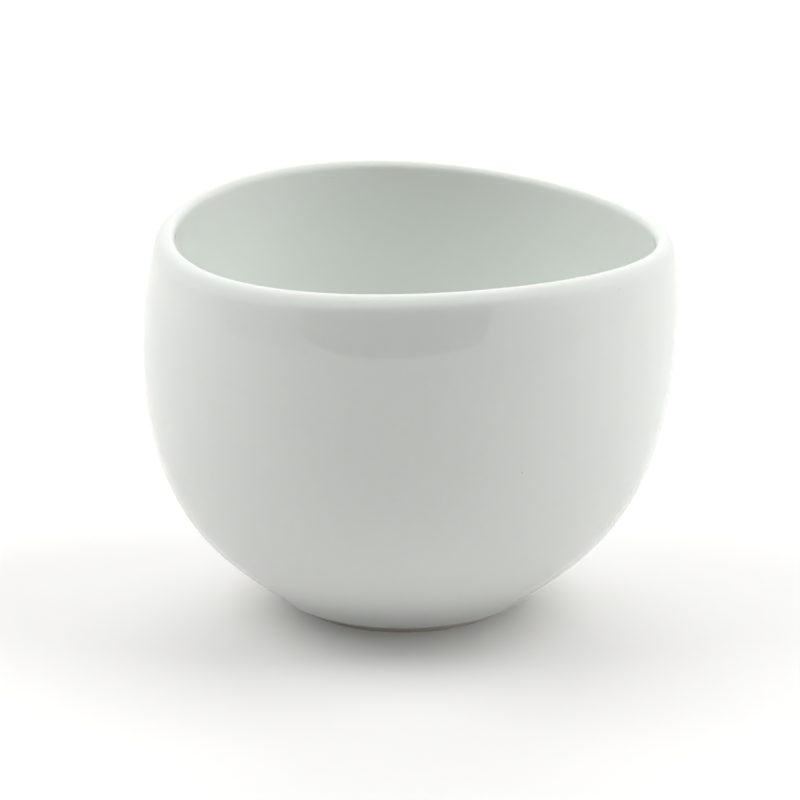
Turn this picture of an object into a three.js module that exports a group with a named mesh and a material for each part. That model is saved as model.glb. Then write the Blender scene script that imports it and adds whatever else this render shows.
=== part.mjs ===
// A porcelain shaving bowl: a cast body with a low foot ring, and the glaze that was fired onto it.
// The wall is turned round the Z axis, then warped a little more and more as it rises, as the firing
// leaves it: the rim leans towards +X, is slightly oval, and rolls gently up and down.
// Millimetres, +Z up, standing on Z = 0, with the origin under the middle of the bounding box.
import * as THREE from "three";

const point = (radius, height) => new THREE.Vector2(radius, height);

// Driving dimensions of the unglazed body. A profile point is (distance from the axis, height).
const LIP_CREST = point(50.6, 78.6);
const LIP_OUTSIDE = point(53.7, 75.1);
const LIP_INSIDE = point(49.8, 77.4);
const WALL_TOP_SLOPE = THREE.MathUtils.degToRad(97);
const BELLY_OUTSIDE = point(54.5, 61.0);
const BELLY_INSIDE = point(51.1, 61.0);
const FLOOR_CENTRE = point(0, 6.6);
const FLOOR_EDGE = point(15.0, 6.6);

const FOOT_OUTER_RADIUS = 22.0;
const FOOT_INNER_RADIUS = 18.5;
const FOOT_EDGE_ROUND = 0.7;
const FOOT_JOIN = point(26.3, 3.4);
const FOOT_JOIN_SLOPE = THREE.MathUtils.degToRad(41);
const RECESS_CENTRE = point(0, 2.6);
const RECESS_EDGE = point(15.6, 2.6);

// Bezier handles: how far a curve of the profile runs straight on from its end before it bends.
const FOOT_FACE_HANDLE = 1.2;
const FOOT_JOIN_HANDLE_BELOW = 2.2;
const FOOT_JOIN_HANDLE_ABOVE = 12.9;
const BELLY_OUTSIDE_HANDLE_BELOW = 41.5;
const BELLY_INSIDE_HANDLE_BELOW = 39.5;
const BELLY_HANDLE_ABOVE = 7.0;
const LIP_OUTSIDE_HANDLE_BELOW = 4.0;
const LIP_OUTSIDE_HANDLE_ABOVE = 1.9;
const LIP_CREST_HANDLE_OUT = 2.1;
const LIP_CREST_HANDLE_IN = 0.5;
const LIP_INSIDE_HANDLE_ABOVE = 0.7;
const LIP_INSIDE_HANDLE_BELOW = 5.0;
const FLOOR_HANDLE = 19.0;
const RECESS_CORNER_INSET = 0.5;

// The glaze. It stops GLAZE_LINE above the surface that the foot ring stands on.
const GLAZE_THICKNESS = 0.3;
const GLAZE_EDGE_THICKNESS = 0.12;
const GLAZE_CLEARANCE = 0.2;
const GLAZE_LINE = 1.0;

// How far the firing has warped the rim. Every effect grows from nothing at the foot.
const WARP_GROWTH_POWER = 1.93;
const RIM_LEAN = 2.5;
const RIM_OVAL = 0.015;
const RIM_TILT = -0.6;
const RIM_SADDLE = -0.96;
const RIM_TWIST = -1.16;

const SEGMENTS_ROUND = 64;

const above = (from, height) => point(from.x, from.y + height);
const along = (from, angle, length) =>
  point(from.x + length * Math.cos(angle), from.y + length * Math.sin(angle));

// Joins curves end to end into one list of points. Each entry is [curve, number of steps].
function joinCurves(stretches) {
  const points = [stretches[0][0].getPoint(0)];
  for (const [curve, steps] of stretches) points.push(...curve.getPoints(steps).slice(1));
  return points;
}

// The underside, from the axis out to the glaze line on the inner face of the foot ring.
function recessProfile() {
  const glazeLine = point(FOOT_INNER_RADIUS, GLAZE_LINE);
  const corner = point(FOOT_INNER_RADIUS - RECESS_CORNER_INSET, RECESS_EDGE.y);
  return joinCurves([
    [new THREE.LineCurve(RECESS_CENTRE, RECESS_EDGE), 2],
    [new THREE.QuadraticBezierCurve(RECESS_EDGE, corner, glazeLine), 3],
  ]);
}

// The bare edge that the bowl stands on, from one glaze line to the other.
function footEdgeProfile() {
  const innerLine = point(FOOT_INNER_RADIUS, GLAZE_LINE);
  const outerLine = point(FOOT_OUTER_RADIUS, GLAZE_LINE);
  const flatStart = point(FOOT_INNER_RADIUS + FOOT_EDGE_ROUND, 0);
  const flatEnd = point(FOOT_OUTER_RADIUS - FOOT_EDGE_ROUND, 0);
  return joinCurves([
    [new THREE.QuadraticBezierCurve(innerLine, point(FOOT_INNER_RADIUS, 0), flatStart), 3],
    [new THREE.LineCurve(flatStart, flatEnd), 1],
    [new THREE.QuadraticBezierCurve(flatEnd, point(FOOT_OUTER_RADIUS, 0), outerLine), 3],
  ]);
}

// The foot ring's outer face, blended into the wall, and the wall up to the lip.
function outsideCurves() {
  const glazeLine = point(FOOT_OUTER_RADIUS, GLAZE_LINE);
  const footBlend = new THREE.CubicBezierCurve(
    glazeLine,
    above(glazeLine, FOOT_FACE_HANDLE),
    along(FOOT_JOIN, FOOT_JOIN_SLOPE, -FOOT_JOIN_HANDLE_BELOW),
    FOOT_JOIN,
  );
  const lowerWall = new THREE.CubicBezierCurve(
    FOOT_JOIN,
    along(FOOT_JOIN, FOOT_JOIN_SLOPE, FOOT_JOIN_HANDLE_ABOVE),
    above(BELLY_OUTSIDE, -BELLY_OUTSIDE_HANDLE_BELOW),
    BELLY_OUTSIDE,
  );
  const upperWall = new THREE.CubicBezierCurve(
    BELLY_OUTSIDE,
    above(BELLY_OUTSIDE, BELLY_HANDLE_ABOVE),
    along(LIP_OUTSIDE, WALL_TOP_SLOPE, -LIP_OUTSIDE_HANDLE_BELOW),
    LIP_OUTSIDE,
  );
  return [[footBlend, 3], [lowerWall, 12], [upperWall, 4]];
}

// The rounded lip, from the outside over the crest to the inside.
function lipCurves() {
  const outerHalf = new THREE.CubicBezierCurve(
    LIP_OUTSIDE,
    along(LIP_OUTSIDE, WALL_TOP_SLOPE, LIP_OUTSIDE_HANDLE_ABOVE),
    point(LIP_CREST.x + LIP_CREST_HANDLE_OUT, LIP_CREST.y),
    LIP_CREST,
  );
  const innerHalf = new THREE.CubicBezierCurve(
    LIP_CREST,
    point(LIP_CREST.x - LIP_CREST_HANDLE_IN, LIP_CREST.y),
    along(LIP_INSIDE, WALL_TOP_SLOPE, LIP_INSIDE_HANDLE_ABOVE),
    LIP_INSIDE,
  );
  return [[outerHalf, 4], [innerHalf, 3]];
}

// The inside of the wall, down to the flat middle of the floor.
function insideCurves() {
  const upperWall = new THREE.CubicBezierCurve(
    LIP_INSIDE,
    along(LIP_INSIDE, WALL_TOP_SLOPE, -LIP_INSIDE_HANDLE_BELOW),
    above(BELLY_INSIDE, BELLY_HANDLE_ABOVE),
    BELLY_INSIDE,
  );
  const lowerWall = new THREE.CubicBezierCurve(
    BELLY_INSIDE,
    above(BELLY_INSIDE, -BELLY_INSIDE_HANDLE_BELOW),
    point(FLOOR_EDGE.x + FLOOR_HANDLE, FLOOR_EDGE.y),
    FLOOR_EDGE,
  );
  const floor = new THREE.LineCurve(FLOOR_EDGE, FLOOR_CENTRE);
  return [[upperWall, 3], [lowerWall, 10], [floor, 1]];
}

// Moves each point of a profile off the body, which lies to the left of the way the profile runs.
function offset(profile, distanceAt) {
  return profile.map((here, i) => {
    const before = profile[Math.max(i - 1, 0)];
    const after = profile[Math.min(i + 1, profile.length - 1)];
    const run = after.clone().sub(before).normalize();
    return here.clone().addScaledVector(point(run.y, -run.x), distanceAt(i));
  });
}

// The closed outline of a coat of glaze, which thins out at the profile point on the glaze line.
function coatProfile(profile, lineIndex) {
  const thicknessAt = (i) => (i === lineIndex ? GLAZE_EDGE_THICKNESS : GLAZE_THICKNESS);
  const front = offset(profile, (i) => GLAZE_CLEARANCE + thicknessAt(i));
  const back = offset(profile, () => GLAZE_CLEARANCE).reverse();
  return lineIndex === 0 ? [...back, ...front] : [...front, ...back];
}

// Every term here is smooth across the axis, so the floor stays whole.
function warp(geometry) {
  const positions = geometry.getAttribute("position");
  for (let i = 0; i < positions.count; i++) {
    const [x, y, z] = [positions.getX(i), positions.getY(i), positions.getZ(i)];
    const growth = (Math.max(z, 0) / LIP_CREST.y) ** WARP_GROWTH_POWER;
    const [u, v] = [x / LIP_CREST.x, y / LIP_CREST.x];
    const rise = RIM_TILT * u + RIM_SADDLE * (u * u - v * v) + RIM_TWIST * 2 * u * v;
    positions.setXYZ(
      i,
      x * (1 - RIM_OVAL * growth) + RIM_LEAN * growth,
      y * (1 + RIM_OVAL * growth),
      z + rise * growth,
    );
  }
  return geometry;
}

function makePiece(name, profile, material) {
  const turned = new THREE.LatheGeometry(profile, SEGMENTS_ROUND).rotateX(Math.PI / 2);
  const mesh = new THREE.Mesh(warp(turned), material);
  mesh.name = name;
  return mesh;
}

const biscuit = new THREE.MeshStandardMaterial({ color: 0xece7dc, roughness: 0.8, metalness: 0 });
const glaze = new THREE.MeshStandardMaterial({ color: 0xe6e9e5, roughness: 0.08, metalness: 0 });

const recess = recessProfile();
const footEdge = footEdgeProfile();
const wall = joinCurves([...outsideCurves(), ...lipCurves(), ...insideCurves()]);
const wholeBody = [...recess, ...footEdge.slice(1), ...wall.slice(1)];

const bowl = new THREE.Group();
bowl.add(
  makePiece("porcelain_body", wholeBody, biscuit),
  makePiece("glaze_coat", coatProfile(wall, 0), glaze),
  makePiece("underside_glaze", coatProfile(recess, recess.length - 1), glaze),
);

const bounds = new THREE.Box3().setFromObject(bowl);
const middle = bounds.getCenter(new THREE.Vector3());
bowl.position.set(-middle.x, -middle.y, -bounds.min.z);

export default bowl;
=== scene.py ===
"""A white porcelain shaving bowl on a pale round table, lit like a product in a bright studio.

The bowl is turned round its axis and then warped a little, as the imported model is, but finely
enough for smooth reflections. Everything is in metres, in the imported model's frame.
"""
import math

import bpy
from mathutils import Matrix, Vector


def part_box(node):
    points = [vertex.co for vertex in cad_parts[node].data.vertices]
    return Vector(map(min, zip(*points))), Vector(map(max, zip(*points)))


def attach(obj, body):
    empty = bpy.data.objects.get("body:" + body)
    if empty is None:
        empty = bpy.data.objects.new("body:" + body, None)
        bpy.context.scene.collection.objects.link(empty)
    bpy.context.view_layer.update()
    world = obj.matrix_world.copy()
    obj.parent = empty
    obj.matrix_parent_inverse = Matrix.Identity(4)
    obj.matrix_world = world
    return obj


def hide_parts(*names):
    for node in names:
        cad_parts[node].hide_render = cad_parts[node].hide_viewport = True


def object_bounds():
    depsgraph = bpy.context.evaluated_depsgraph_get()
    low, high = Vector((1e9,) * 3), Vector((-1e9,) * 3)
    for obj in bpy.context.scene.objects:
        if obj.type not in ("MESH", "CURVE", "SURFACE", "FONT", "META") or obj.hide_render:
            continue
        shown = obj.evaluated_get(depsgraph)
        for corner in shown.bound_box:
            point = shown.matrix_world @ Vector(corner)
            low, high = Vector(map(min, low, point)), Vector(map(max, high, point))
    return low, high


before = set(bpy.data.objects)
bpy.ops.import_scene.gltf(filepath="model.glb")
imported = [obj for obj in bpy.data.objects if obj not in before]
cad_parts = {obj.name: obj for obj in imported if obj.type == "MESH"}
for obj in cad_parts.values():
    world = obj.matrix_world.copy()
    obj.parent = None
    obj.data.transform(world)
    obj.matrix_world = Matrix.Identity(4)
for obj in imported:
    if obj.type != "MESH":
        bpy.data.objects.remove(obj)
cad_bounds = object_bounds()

# The bowl's profile: (distance from the axis, height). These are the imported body's dimensions.
LIP_CREST = Vector((0.0506, 0.0786))
LIP_OUTSIDE = Vector((0.0537, 0.0751))
LIP_INSIDE = Vector((0.0498, 0.0774))
WALL_TOP_SLOPE = math.radians(97)
BELLY_OUTSIDE = Vector((0.0545, 0.0610))
BELLY_INSIDE = Vector((0.0511, 0.0610))
FLOOR_CENTRE = Vector((0.0, 0.0066))
FLOOR_EDGE = Vector((0.0150, 0.0066))
FOOT_OUTER_RADIUS = 0.0220
FOOT_INNER_RADIUS = 0.0185
FOOT_EDGE_ROUND = 0.0007
FOOT_JOIN = Vector((0.0263, 0.0034))
FOOT_JOIN_SLOPE = math.radians(41)
RECESS_CENTRE = Vector((0.0, 0.0026))
RECESS_EDGE = Vector((0.0156, 0.0026))
GLAZE_LINE = 0.0010

# Bezier handles: how far a curve of the profile runs straight on from its end before it bends.
FOOT_FACE_HANDLE = 0.0012
FOOT_JOIN_HANDLE_BELOW = 0.0022
FOOT_JOIN_HANDLE_ABOVE = 0.0129
BELLY_OUTSIDE_HANDLE_BELOW = 0.0415
BELLY_INSIDE_HANDLE_BELOW = 0.0395
BELLY_HANDLE_ABOVE = 0.0070
LIP_OUTSIDE_HANDLE_BELOW = 0.0040
LIP_OUTSIDE_HANDLE_ABOVE = 0.0019
LIP_CREST_HANDLE_OUT = 0.0021
LIP_CREST_HANDLE_IN = 0.0005
LIP_INSIDE_HANDLE_ABOVE = 0.0007
LIP_INSIDE_HANDLE_BELOW = 0.0050
FLOOR_HANDLE = 0.0190
RECESS_CORNER_INSET = 0.0005

# The glaze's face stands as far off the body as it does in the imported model, to within 0.04 mm,
# and it ends in a bead.
GLAZE_THICKNESS = 0.00044
GLAZE_GAP = 0.00002
GLAZE_BEAD_LENGTH = 0.0009

# How the firing has warped the rim.
WARP_GROWTH_POWER = 1.93
RIM_LEAN = 0.0025
RIM_OVAL = 0.015
RIM_TILT = -0.0006
RIM_SADDLE = -0.00096
RIM_TWIST = -0.00116

SEGMENTS_ROUND = 192

# Linear colours, each with an alpha of 1.
BLACK = (0, 0, 0, 1)
WHITE = (1, 1, 1, 1)
GLAZE_CLOUD_DARK = (0.79, 0.80, 0.77, 1)
GLAZE_CLOUD_LIGHT = (0.805, 0.81, 0.78, 1)
GLAZE_GATHERED = (0.782, 0.806, 0.772, 1)
# Painted shade: a greyer colour for the upward-facing top of the lip, which dims it under the top
# light.
LIP_TOP_PAINTED_SHADE = (0.70, 0.71, 0.685, 1)
IRON_SPECK = (0.25, 0.20, 0.14, 1)
BISCUIT_DARK = (0.70, 0.65, 0.56, 1)
BISCUIT_LIGHT = (0.82, 0.78, 0.70, 1)
BISCUIT_WORN = (0.50, 0.46, 0.40, 1)
TABLE_DARK = (0.745, 0.740, 0.730, 1)
TABLE_LIGHT = (0.765, 0.760, 0.750, 1)

# The materials' marks. Sizes across the surface are in millimetres, and depths in metres.
GLAZE_CLOUD_SIZE = 35
PEEL_SIZE = 11
PEEL_DEPTH = 0.00002
PINHOLE_SPACING = 8
PINHOLE_RADIUS = 0.2
PINHOLE_DEPTH = 0.00006
PINHOLE_SHIFT = (31, 17, 5)
SPECK_SPACING = 7.5
SPECK_RADIUS = 0.2
SPECK_STRENGTH = 0.45
HANDLING_SIZE = 18
GRAIN_SIZE = 0.35
GRAIN_DEPTH = 0.00006
WEAR_PATCH_SIZE = 2.5
MOTTLING_SIZE = 60

# Heights in millimetres between which an effect fades in.
BELOW_LIP = (80, 66)
FOOT_BEAD = (2.2, 0.6)
NEAR_RIM = (60, 72)
FOOT_WEAR = (0.25, 0)

UP = (0, 0, 1)
LEVEL = (1, 1, 0)
TO_MILLIMETRES = (1000, 1000, 1000)

TABLE_RADIUS = 1.0
TABLE_CORNERS = 96
TABLE_GLOW = 0.08

# The cards that the glaze reflects. The dark one stands across the front, and its corners are
# (x, height). The left one bends away round the bowl, and its corners are (x, y, height).
DARK_CARD_Y = -0.33
DARK_CARD_CORNERS = [
    (-0.18, 0.004), (0.17, 0.002), (0.205, 0.025), (0.24, 0.13),
    (0.26, 0.30), (-0.60, 0.30), (-0.38, 0.050), (-0.31, 0.020)]
ROOM_CARD_ENDS = [(-0.9, -0.335), (1.2, -0.335)]
ROOM_CARD_HEIGHTS = (0.06, 0.30)
LEFT_CARD_CORNERS = [
    (-0.35, -0.34, 0), (-0.45, -0.184, 0), (-0.52, -0.075, 0.024), (-0.59, 0.034, 0.087),
    (-0.62, 0.081, 0.20), (-0.35, -0.34, 0.20)]
LEFT_CARD_BRIGHTNESS = 0.5

# Two cards follow this line, (x, y), on the right, with a dimmer strip below their lower edges, a
# painted shadow line along their feet that shows in the glaze.
# The near end of the first is cut on a slant, from a height up to a place on its upper edge.
RIGHT_START = (0.127, -0.243)
RIGHT_BEND = (0.296, -0.089)
RIGHT_END = (0.364, 0.077)
RIGHT_LOWER_EDGE = 0.006
RIGHT_UPPER_EDGE = 0.15
RIGHT_CUT_HEIGHT = 0.025
RIGHT_CUT_TOP = (0.160, -0.213)
RIGHT_CARD_BRIGHTNESS = 0.9
RIGHT_STRIP_BRIGHTNESS = 0.6

# The camera looks at a place CAMERA_AIM off the bowl's centre, from this many degrees up.
CAMERA_LENS = 197.6
CAMERA_DISTANCE = 0.9
CAMERA_ELEVATION = 17.36
CAMERA_AIM = Vector((-0.0021, 0.0009, 0.0020))

# Soft boxes: name, azimuth and elevation in degrees, width, height and watts. All face the bowl
# from the same distance.
SOFT_BOX_DISTANCE = 1.2
SOFT_BOXES = [
    ("left_box", -90, 50, 0.9, 0.7, 7.4),
    ("right_box", 90, 50, 0.9, 0.7, 8.5),
    ("high_back_box", 180, 50, 0.9, 0.7, 3.7),
    ("low_back_box", 180, 20, 0.9, 0.6, 4.5),
    ("low_right_box", 85, 20, 0.9, 0.6, 2.45),
    ("back_left_box", -125, 20, 0.9, 0.6, 2.4),
    ("front_left_box", -45, 50, 0.9, 0.7, 1.25),
    ("front_box", 0, 72, 0.9, 0.6, 0.8),
    ("top_box", 180, 89, 1.1, 1.1, 2.9),
]
WORLD_STRENGTH = 1.0

BOWL_CENTRE = (cad_bounds[0] + cad_bounds[1]) / 2

# The turning axis, from the round patch of glaze under the base.
underside_low, underside_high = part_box("underside_glaze")
AXIS = Vector(((underside_low.x + underside_high.x) / 2, 0, 0))


def point(radius, height):
    return Vector((radius, height))


def above(start, height):
    return point(start.x, start.y + height)


def beside(start, distance):
    return point(start.x + distance, start.y)


def along(start, angle, length):
    return start + length * Vector((math.cos(angle), math.sin(angle)))


def bezier(controls, steps, crowding=1.0):
    """Points on a Bezier curve. A crowding over 1 draws them towards its start."""
    points = []
    for step in range(steps + 1):
        t = (step / steps) ** crowding
        level = list(controls)
        while len(level) > 1:
            level = [a.lerp(b, t) for a, b in zip(level, level[1:])]
        points.append(level[0])
    return points


def join(*stretches):
    """One list of points from stretches that meet end to end."""
    joined = list(stretches[0])
    for stretch in stretches[1:]:
        joined += stretch[1:]
    return joined


def recess_profile():
    """The underside, from the axis out to the glaze line inside the foot ring."""
    line = point(FOOT_INNER_RADIUS, GLAZE_LINE)
    corner = point(FOOT_INNER_RADIUS - RECESS_CORNER_INSET, RECESS_EDGE.y)
    side = bezier([line, corner, RECESS_EDGE], steps=20, crowding=1.6)
    return join(bezier([RECESS_CENTRE, RECESS_EDGE], steps=10), side[::-1])


def foot_edge_profile():
    """The bare edge that the bowl stands on, from the inner glaze line to the outer one."""
    flat_start = point(FOOT_INNER_RADIUS + FOOT_EDGE_ROUND, 0)
    flat_end = point(FOOT_OUTER_RADIUS - FOOT_EDGE_ROUND, 0)
    inner_line = point(FOOT_INNER_RADIUS, GLAZE_LINE)
    outer_line = point(FOOT_OUTER_RADIUS, GLAZE_LINE)
    return join(
        bezier([inner_line, point(FOOT_INNER_RADIUS, 0), flat_start], steps=8),
        bezier([flat_start, flat_end], steps=4),
        bezier([flat_end, point(FOOT_OUTER_RADIUS, 0), outer_line], steps=8),
    )


def outside_profile():
    """The foot ring's outer face, blended into the wall, and the wall up to the lip."""
    line = point(FOOT_OUTER_RADIUS, GLAZE_LINE)
    foot_blend = [
        line,
        above(line, FOOT_FACE_HANDLE),
        along(FOOT_JOIN, FOOT_JOIN_SLOPE, -FOOT_JOIN_HANDLE_BELOW),
        FOOT_JOIN,
    ]
    lower_wall = [
        FOOT_JOIN,
        along(FOOT_JOIN, FOOT_JOIN_SLOPE, FOOT_JOIN_HANDLE_ABOVE),
        above(BELLY_OUTSIDE, -BELLY_OUTSIDE_HANDLE_BELOW),
        BELLY_OUTSIDE,
    ]
    upper_wall = [
        BELLY_OUTSIDE,
        above(BELLY_OUTSIDE, BELLY_HANDLE_ABOVE),
        along(LIP_OUTSIDE, WALL_TOP_SLOPE, -LIP_OUTSIDE_HANDLE_BELOW),
        LIP_OUTSIDE,
    ]
    return join(
        bezier(foot_blend, steps=24, crowding=1.7),
        bezier(lower_wall, steps=48),
        bezier(upper_wall, steps=14),
    )


def lip_profile():
    """The rounded lip, from the outside over the crest to the inside."""
    outer_half = [
        LIP_OUTSIDE,
        along(LIP_OUTSIDE, WALL_TOP_SLOPE, LIP_OUTSIDE_HANDLE_ABOVE),
        beside(LIP_CREST, LIP_CREST_HANDLE_OUT),
        LIP_CREST,
    ]
    inner_half = [
        LIP_CREST,
        beside(LIP_CREST, -LIP_CREST_HANDLE_IN),
        along(LIP_INSIDE, WALL_TOP_SLOPE, LIP_INSIDE_HANDLE_ABOVE),
        LIP_INSIDE,
    ]
    return join(bezier(outer_half, steps=14), bezier(inner_half, steps=10))


def inside_profile():
    """The inside of the wall, down to the flat middle of the floor."""
    upper_wall = [
        LIP_INSIDE,
        along(LIP_INSIDE, WALL_TOP_SLOPE, -LIP_INSIDE_HANDLE_BELOW),
        above(BELLY_INSIDE, BELLY_HANDLE_ABOVE),
        BELLY_INSIDE,
    ]
    lower_wall = [
        BELLY_INSIDE,
        above(BELLY_INSIDE, -BELLY_INSIDE_HANDLE_BELOW),
        beside(FLOOR_EDGE, FLOOR_HANDLE),
        FLOOR_EDGE,
    ]
    return join(
        bezier(upper_wall, steps=14),
        bezier(lower_wall, steps=44),
        bezier([FLOOR_EDGE, FLOOR_CENTRE], steps=10),
    )


def offset(profile, distances):
    """Moves each point off the body, which lies to the left of the way the profile runs."""
    moved = []
    last = len(profile) - 1
    for i, (here, distance) in enumerate(zip(profile, distances)):
        run = (profile[min(i + 1, last)] - profile[max(i - 1, 0)]).normalized()
        moved.append(here + distance * Vector((run.y, -run.x)))
    return moved


def bead_thickness(profile):
    """The glaze's thickness at each point: a rounded bead at the glaze line, then a level coat."""
    thickness = []
    travelled = 0.0
    for before, here in zip([profile[0], *profile], profile):
        travelled += (here - before).length
        short_of_full = 1 - min(travelled / GLAZE_BEAD_LENGTH, 1)
        thickness.append(GLAZE_THICKNESS * math.sqrt(1 - short_of_full ** 2))
    return thickness


def coat_outline(profile):
    """The closed outline of the glaze on a profile between the axis and a glaze line."""
    starts_on_axis = profile[0].x == 0
    thickness = bead_thickness(profile[::-1])[::-1] if starts_on_axis else bead_thickness(profile)
    front = offset(profile, [GLAZE_GAP + t for t in thickness])
    back = offset(profile, [GLAZE_GAP] * len(profile))
    return front + back[-2::-1] if starts_on_axis else back[:0:-1] + front


def warped(radius, height, angle):
    """Where the firing moved a point of the turned shape to, before the axis is put in its place."""
    growth = (max(height, 0) / LIP_CREST.y) ** WARP_GROWTH_POWER
    x = radius * math.cos(angle)
    y = radius * math.sin(angle)
    u = x / LIP_CREST.x
    v = y / LIP_CREST.x
    rise = RIM_TILT * u + RIM_SADDLE * (u * u - v * v) + RIM_TWIST * 2 * u * v
    return Vector((
        x * (1 - RIM_OVAL * growth) + RIM_LEAN * growth,
        y * (1 + RIM_OVAL * growth),
        height + rise * growth,
    ))


def turned_mesh(name, outline):
    """A closed mesh from an outline that starts and ends on the axis."""
    rings = outline[1:-1]
    angles = [math.tau * i / SEGMENTS_ROUND for i in range(SEGMENTS_ROUND)]
    places = [warped(0, outline[0].y, 0)]
    places += [warped(ring.x, ring.y, angle) for ring in rings for angle in angles]
    places.append(warped(0, outline[-1].y, 0))
    first, last = 0, len(places) - 1
    rows = [[1 + i * SEGMENTS_ROUND + j for j in range(SEGMENTS_ROUND)] for i in range(len(rings))]
    faces = []
    for j in range(SEGMENTS_ROUND):
        k = (j + 1) % SEGMENTS_ROUND
        faces.append((first, rows[0][k], rows[0][j]))
        faces += [(low[j], low[k], high[k], high[j]) for low, high in zip(rows, rows[1:])]
        faces.append((rows[-1][j], rows[-1][k], last))
    mesh = bpy.data.meshes.new(name)
    mesh.from_pydata([place + AXIS for place in places], [], faces)
    mesh.shade_smooth()
    return mesh


def add_piece(name, outline, material, node):
    """One piece of the bowl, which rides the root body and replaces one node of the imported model."""
    piece = bpy.data.objects.new(name, turned_mesh(name, outline))
    bpy.context.collection.objects.link(piece)
    piece.data.materials.append(material)
    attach(piece, "root")
    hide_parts(node)


class Shader:
    """A Principled material, with short calls to build its node tree."""

    def __init__(self, name, **sockets):
        self.material = bpy.data.materials.new(name)
        self.material.use_nodes = True
        self.nodes = self.material.node_tree.nodes
        self.links = self.material.node_tree.links
        self.principled = self.nodes["Principled BSDF"]
        for socket, value in sockets.items():
            self.principled.inputs[socket.replace("_", " ")].default_value = value

    def add(self, kind, inputs=(), **settings):
        """A node. Each input is (socket, value), and a value may be another node's output."""
        node = self.nodes.new(kind)
        for setting, value in settings.items():
            setattr(node, setting, value)
        for socket, value in inputs:
            self.put(node.inputs[socket], value)
        return node

    def put(self, socket, value):
        """Sets a socket to a value, or links it to another node's output."""
        if isinstance(value, bpy.types.NodeSocket):
            self.links.new(value, socket)
        else:
            socket.default_value = value

    def vector(self, operation, a, b):
        """A vector maths node on a and b."""
        return self.add("ShaderNodeVectorMath", [(0, a), (1, b)], operation=operation)

    def place(self):
        """The surface point in millimetres."""
        coordinates = self.add("ShaderNodeTexCoord").outputs["Object"]
        return self.vector("MULTIPLY", coordinates, TO_MILLIMETRES).outputs[0]

    def height(self):
        """The surface point's height above the floor in millimetres."""
        return self.vector("DOT_PRODUCT", self.place(), UP).outputs["Value"]

    def facing_up(self):
        """1 where the surface faces straight up."""
        normal = self.add("ShaderNodeTexCoord").outputs["Normal"]
        return self.vector("DOT_PRODUCT", normal, UP).outputs["Value"]

    def facing_out(self):
        """1 where the surface faces straight away from the upright axis, and -1 towards it."""
        coordinates = self.add("ShaderNodeTexCoord").outputs
        level = self.vector("MULTIPLY", coordinates["Object"], LEVEL).outputs[0]
        outward = self.add("ShaderNodeVectorMath", [(0, level)], operation="NORMALIZE").outputs[0]
        return self.vector("DOT_PRODUCT", coordinates["Normal"], outward).outputs["Value"]

    def noise(self, place, wavelength, detail, roughness=0.5):
        """Smooth noise whose features are about wavelength millimetres across, from 0 to 1."""
        node = self.add("ShaderNodeTexNoise", [
            ("Vector", place), ("Scale", 1 / wavelength), ("Detail", detail),
            ("Roughness", roughness)])
        return node.outputs[0]

    def ramp(self, value, low, high, to_low=0.0, to_high=1.0):
        """Maps value from low..high to to_low..to_high, smoothly and without going past either."""
        return self.add("ShaderNodeMapRange", [
            ("Value", value), ("From Min", low), ("From Max", high), ("To Min", to_low),
            ("To Max", to_high)], interpolation_type="SMOOTHSTEP").outputs[0]

    def dots(self, place, spacing, radius):
        """1 in sparse round dots of about that radius in millimetres, and 0 between them."""
        cells = self.add("ShaderNodeTexVoronoi", [("Vector", place), ("Scale", 1 / spacing)])
        edge = radius / spacing
        return self.ramp(cells.outputs["Distance"], low=edge, high=0.5 * edge)

    def maths(self, operation, a, b):
        return self.add("ShaderNodeMath", [(0, a), (1, b)], operation=operation).outputs[0]

    def mix(self, factor, colour_a, colour_b):
        """Colour a where the factor is 0, and colour b where it is 1."""
        node = self.add("ShaderNodeMix", data_type="RGBA")
        for socket, value in ((0, factor), (6, colour_a), (7, colour_b)):
            self.put(node.inputs[socket], value)
        return node.outputs[2]

    def bump(self, height, distance, below=None):
        """A bump of height times distance, in metres, on top of the bump below."""
        inputs = [("Height", height), ("Distance", distance)]
        if below is not None:
            inputs.append(("Normal", below))
        return self.add("ShaderNodeBump", inputs).outputs[0]

    def wire(self, **sockets):
        """Links node outputs to the Principled sockets, and gives the finished material."""
        for socket, value in sockets.items():
            self.links.new(value, self.principled.inputs[socket.replace("_", " ")])
        return self.material


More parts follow.
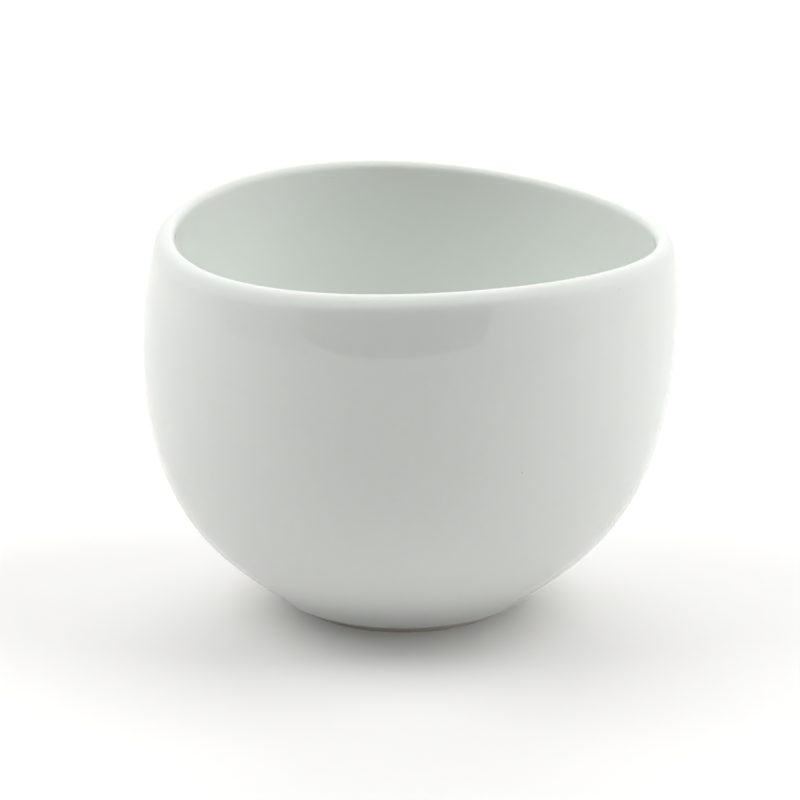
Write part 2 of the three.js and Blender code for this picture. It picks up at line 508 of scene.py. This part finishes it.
def glaze_material():
    """White porcelain under a clear glossy glaze, greener where the glaze has gathered.

    The top of the lip, where it faces up, is painted greyer: painted shade that dims it under the top
    light. The glaze is thickest inside, where the bowl was filled with it, and in a bead round the
    foot. It has a faint orange peel, a few pinholes and a few iron specks.
    """
    shader = Shader("glaze", IOR=1.52, Subsurface_Weight=0.1, Subsurface_Scale=0.002)
    place = shader.place()
    height = shader.height()
    cloud = shader.ramp(shader.noise(place, GLAZE_CLOUD_SIZE, detail=3), low=0.35, high=0.65)
    colour = shader.mix(cloud, GLAZE_CLOUD_DARK, GLAZE_CLOUD_LIGHT)

    inside = shader.ramp(shader.facing_out(), low=0.3, high=-0.2)
    filled = shader.maths("MULTIPLY", inside, shader.ramp(height, *BELOW_LIP))
    gathered = shader.maths("MAXIMUM", filled, shader.ramp(height, *FOOT_BEAD))
    colour = shader.mix(gathered, colour, GLAZE_GATHERED)

    # Painted shade: the lip's top is greyer where it faces up near the rim, which dims it under the
    # top light.
    level = shader.ramp(shader.facing_up(), low=0.4, high=0.95)
    painted_lip_shade = shader.maths("MULTIPLY", level, shader.ramp(height, *NEAR_RIM))
    colour = shader.mix(painted_lip_shade, colour, LIP_TOP_PAINTED_SHADE)

    specks = shader.dots(place, SPECK_SPACING, SPECK_RADIUS)
    colour = shader.mix(shader.maths("MULTIPLY", specks, SPECK_STRENGTH), colour, IRON_SPECK)

    peel = shader.bump(shader.noise(place, PEEL_SIZE, detail=1), PEEL_DEPTH)
    pinhole_place = shader.vector("ADD", place, PINHOLE_SHIFT).outputs[0]
    pinholes = shader.dots(pinhole_place, PINHOLE_SPACING, PINHOLE_RADIUS)
    handling = shader.noise(place, HANDLING_SIZE, detail=4, roughness=0.6)
    return shader.wire(
        Base_Color=colour,
        Normal=shader.bump(pinholes, -PINHOLE_DEPTH, below=peel),
        Roughness=shader.ramp(handling, low=0.4, high=0.75, to_low=0.03, to_high=0.055),
    )


def biscuit_material():
    """The bare fired body: matt, a little warm, finely grained, and rubbed grey where it stands."""
    shader = Shader("biscuit", IOR=1.5)
    place = shader.place()
    grain = shader.noise(place, GRAIN_SIZE, detail=4, roughness=0.65)
    colour = shader.mix(shader.ramp(grain, low=0.3, high=0.7), BISCUIT_DARK, BISCUIT_LIGHT)
    patches = shader.ramp(shader.noise(place, WEAR_PATCH_SIZE, detail=3), low=0.35, high=0.7)
    worn = shader.maths("MULTIPLY", patches, shader.ramp(shader.height(), *FOOT_WEAR))
    return shader.wire(
        Base_Color=shader.mix(worn, colour, BISCUIT_WORN),
        Normal=shader.bump(grain, GRAIN_DEPTH),
        Roughness=shader.ramp(worn, low=0, high=1, to_low=0.85, to_high=0.6),
    )


def table_material():
    """A matt, faintly warm white tabletop. Its glow stands for light that comes up through it."""
    shader = Shader("floor", Roughness=0.7, Emission_Color=WHITE, Emission_Strength=TABLE_GLOW)
    mottling = shader.noise(shader.place(), MOTTLING_SIZE, detail=3)
    return shader.wire(Base_Color=shader.mix(mottling, TABLE_DARK, TABLE_LIGHT))


def add_stage_sheet(name, corners, material):
    """A thin upright or level sheet that isn't part of the object."""
    mesh = bpy.data.meshes.new(name)
    mesh.from_pydata(corners, [], [range(len(corners))])
    mesh.materials.append(material)
    sheet = bpy.data.objects.new(name, mesh)
    bpy.context.collection.objects.link(sheet)
    return sheet


def add_table():
    """A round tabletop, small enough for the soft boxes to light it evenly to its edge."""
    angles = [math.tau * i / TABLE_CORNERS for i in range(TABLE_CORNERS)]
    edge = [(TABLE_RADIUS * math.cos(angle), TABLE_RADIUS * math.sin(angle), 0) for angle in angles]
    add_stage_sheet("floor", edge, table_material())


def add_reflected_card(name, corners, brightness):
    """A sheet that shows only in the glaze, as the flags round a studio table do."""
    shader = Shader(name, Base_Color=BLACK, Roughness=1, Specular_IOR_Level=0,
                    Emission_Color=WHITE, Emission_Strength=brightness)
    card = add_stage_sheet(name, corners, shader.material)
    card.visible_camera = False
    card.visible_diffuse = False
    card.visible_shadow = False


def add_standing_card(name, start, end, low, high, brightness):
    """A rectangular card that stands upright from start to end, between two heights."""
    add_reflected_card(name, [(*start, low), (*end, low), (*end, high), (*start, high)], brightness)


def add_reflected_cards():
    """The dark shape, the dark room above it and the paler bands beside it, seen in the glaze."""
    dark_corners = [(x, DARK_CARD_Y, height) for x, height in DARK_CARD_CORNERS]
    add_reflected_card("dark_card", dark_corners, brightness=0)
    add_standing_card("room_card", *ROOM_CARD_ENDS, *ROOM_CARD_HEIGHTS, brightness=0)
    add_reflected_card("left_card", LEFT_CARD_CORNERS, LEFT_CARD_BRIGHTNESS)
    add_reflected_card("right_front_card", [
        (*RIGHT_START, RIGHT_LOWER_EDGE), (*RIGHT_BEND, RIGHT_LOWER_EDGE),
        (*RIGHT_BEND, RIGHT_UPPER_EDGE), (*RIGHT_CUT_TOP, RIGHT_UPPER_EDGE),
        (*RIGHT_START, RIGHT_CUT_HEIGHT)], RIGHT_CARD_BRIGHTNESS)
    add_standing_card("right_card", RIGHT_BEND, RIGHT_END, RIGHT_LOWER_EDGE, RIGHT_UPPER_EDGE,
                      RIGHT_CARD_BRIGHTNESS)
    # Painted shadow: dimmer strips under the right cards, seen in the glaze as a shadow line along
    # their feet.
    add_standing_card("right_front_shadow_strip", RIGHT_START, RIGHT_BEND, 0, RIGHT_LOWER_EDGE,
                      RIGHT_STRIP_BRIGHTNESS)
    add_standing_card("right_shadow_strip", RIGHT_BEND, RIGHT_END, 0, RIGHT_LOWER_EDGE,
                      RIGHT_STRIP_BRIGHTNESS)


def aim(thing, target):
    """Turns a light or a camera to face a place."""
    thing.rotation_euler = (target - thing.location).to_track_quat("-Z", "Y").to_euler()


def around(target, azimuth, elevation, distance):
    """A place seen from target at angles in degrees. Azimuth 0 is the camera's side."""
    turn = math.radians(azimuth)
    rise = math.radians(elevation)
    level = math.cos(rise)
    return target + distance * Vector((
        math.sin(turn) * level, -math.cos(turn) * level, math.sin(rise)))


def add_soft_box(name, azimuth, elevation, width, height, watts):
    """A large light that faces the bowl, and that neither the camera nor the glaze sees."""
    light = bpy.data.lights.new(name, "AREA")
    light.shape = "RECTANGLE"
    light.size = width
    light.size_y = height
    light.energy = watts
    box = bpy.data.objects.new(name, light)
    box.location = around(BOWL_CENTRE, azimuth, elevation, SOFT_BOX_DISTANCE)
    aim(box, BOWL_CENTRE)
    box.visible_camera = False
    box.visible_glossy = False
    bpy.context.collection.objects.link(box)


def add_camera():
    camera = bpy.data.objects.new("camera", bpy.data.cameras.new("camera"))
    camera.data.lens = CAMERA_LENS
    target = BOWL_CENTRE + CAMERA_AIM
    camera.location = around(target, 0, CAMERA_ELEVATION, CAMERA_DISTANCE)
    aim(camera, target)
    bpy.context.collection.objects.link(camera)
    bpy.context.scene.camera = camera


def light_world():
    """A white surround, which the camera and the glaze see, but which doesn't light the scene."""
    world = bpy.data.worlds.new("studio")
    world.use_nodes = True
    background = world.node_tree.nodes["Background"]
    background.inputs["Color"].default_value = WHITE
    background.inputs["Strength"].default_value = WORLD_STRENGTH
    bpy.context.scene.world = world
    world.cycles_visibility.diffuse = False


glaze = glaze_material()
biscuit = biscuit_material()
recess = recess_profile()
wall = join(outside_profile(), lip_profile(), inside_profile())
add_piece("bowl_body", join(recess, foot_edge_profile(), wall), biscuit, "porcelain_body")
add_piece("bowl_glaze", coat_outline(wall), glaze, "glaze_coat")
add_piece("base_glaze", coat_outline(recess), glaze, "underside_glaze")

add_table()
add_reflected_cards()
add_camera()
light_world()
for soft_box in SOFT_BOXES:
    add_soft_box(*soft_box)
bpy.context.scene.view_settings.view_transform = "Standard"
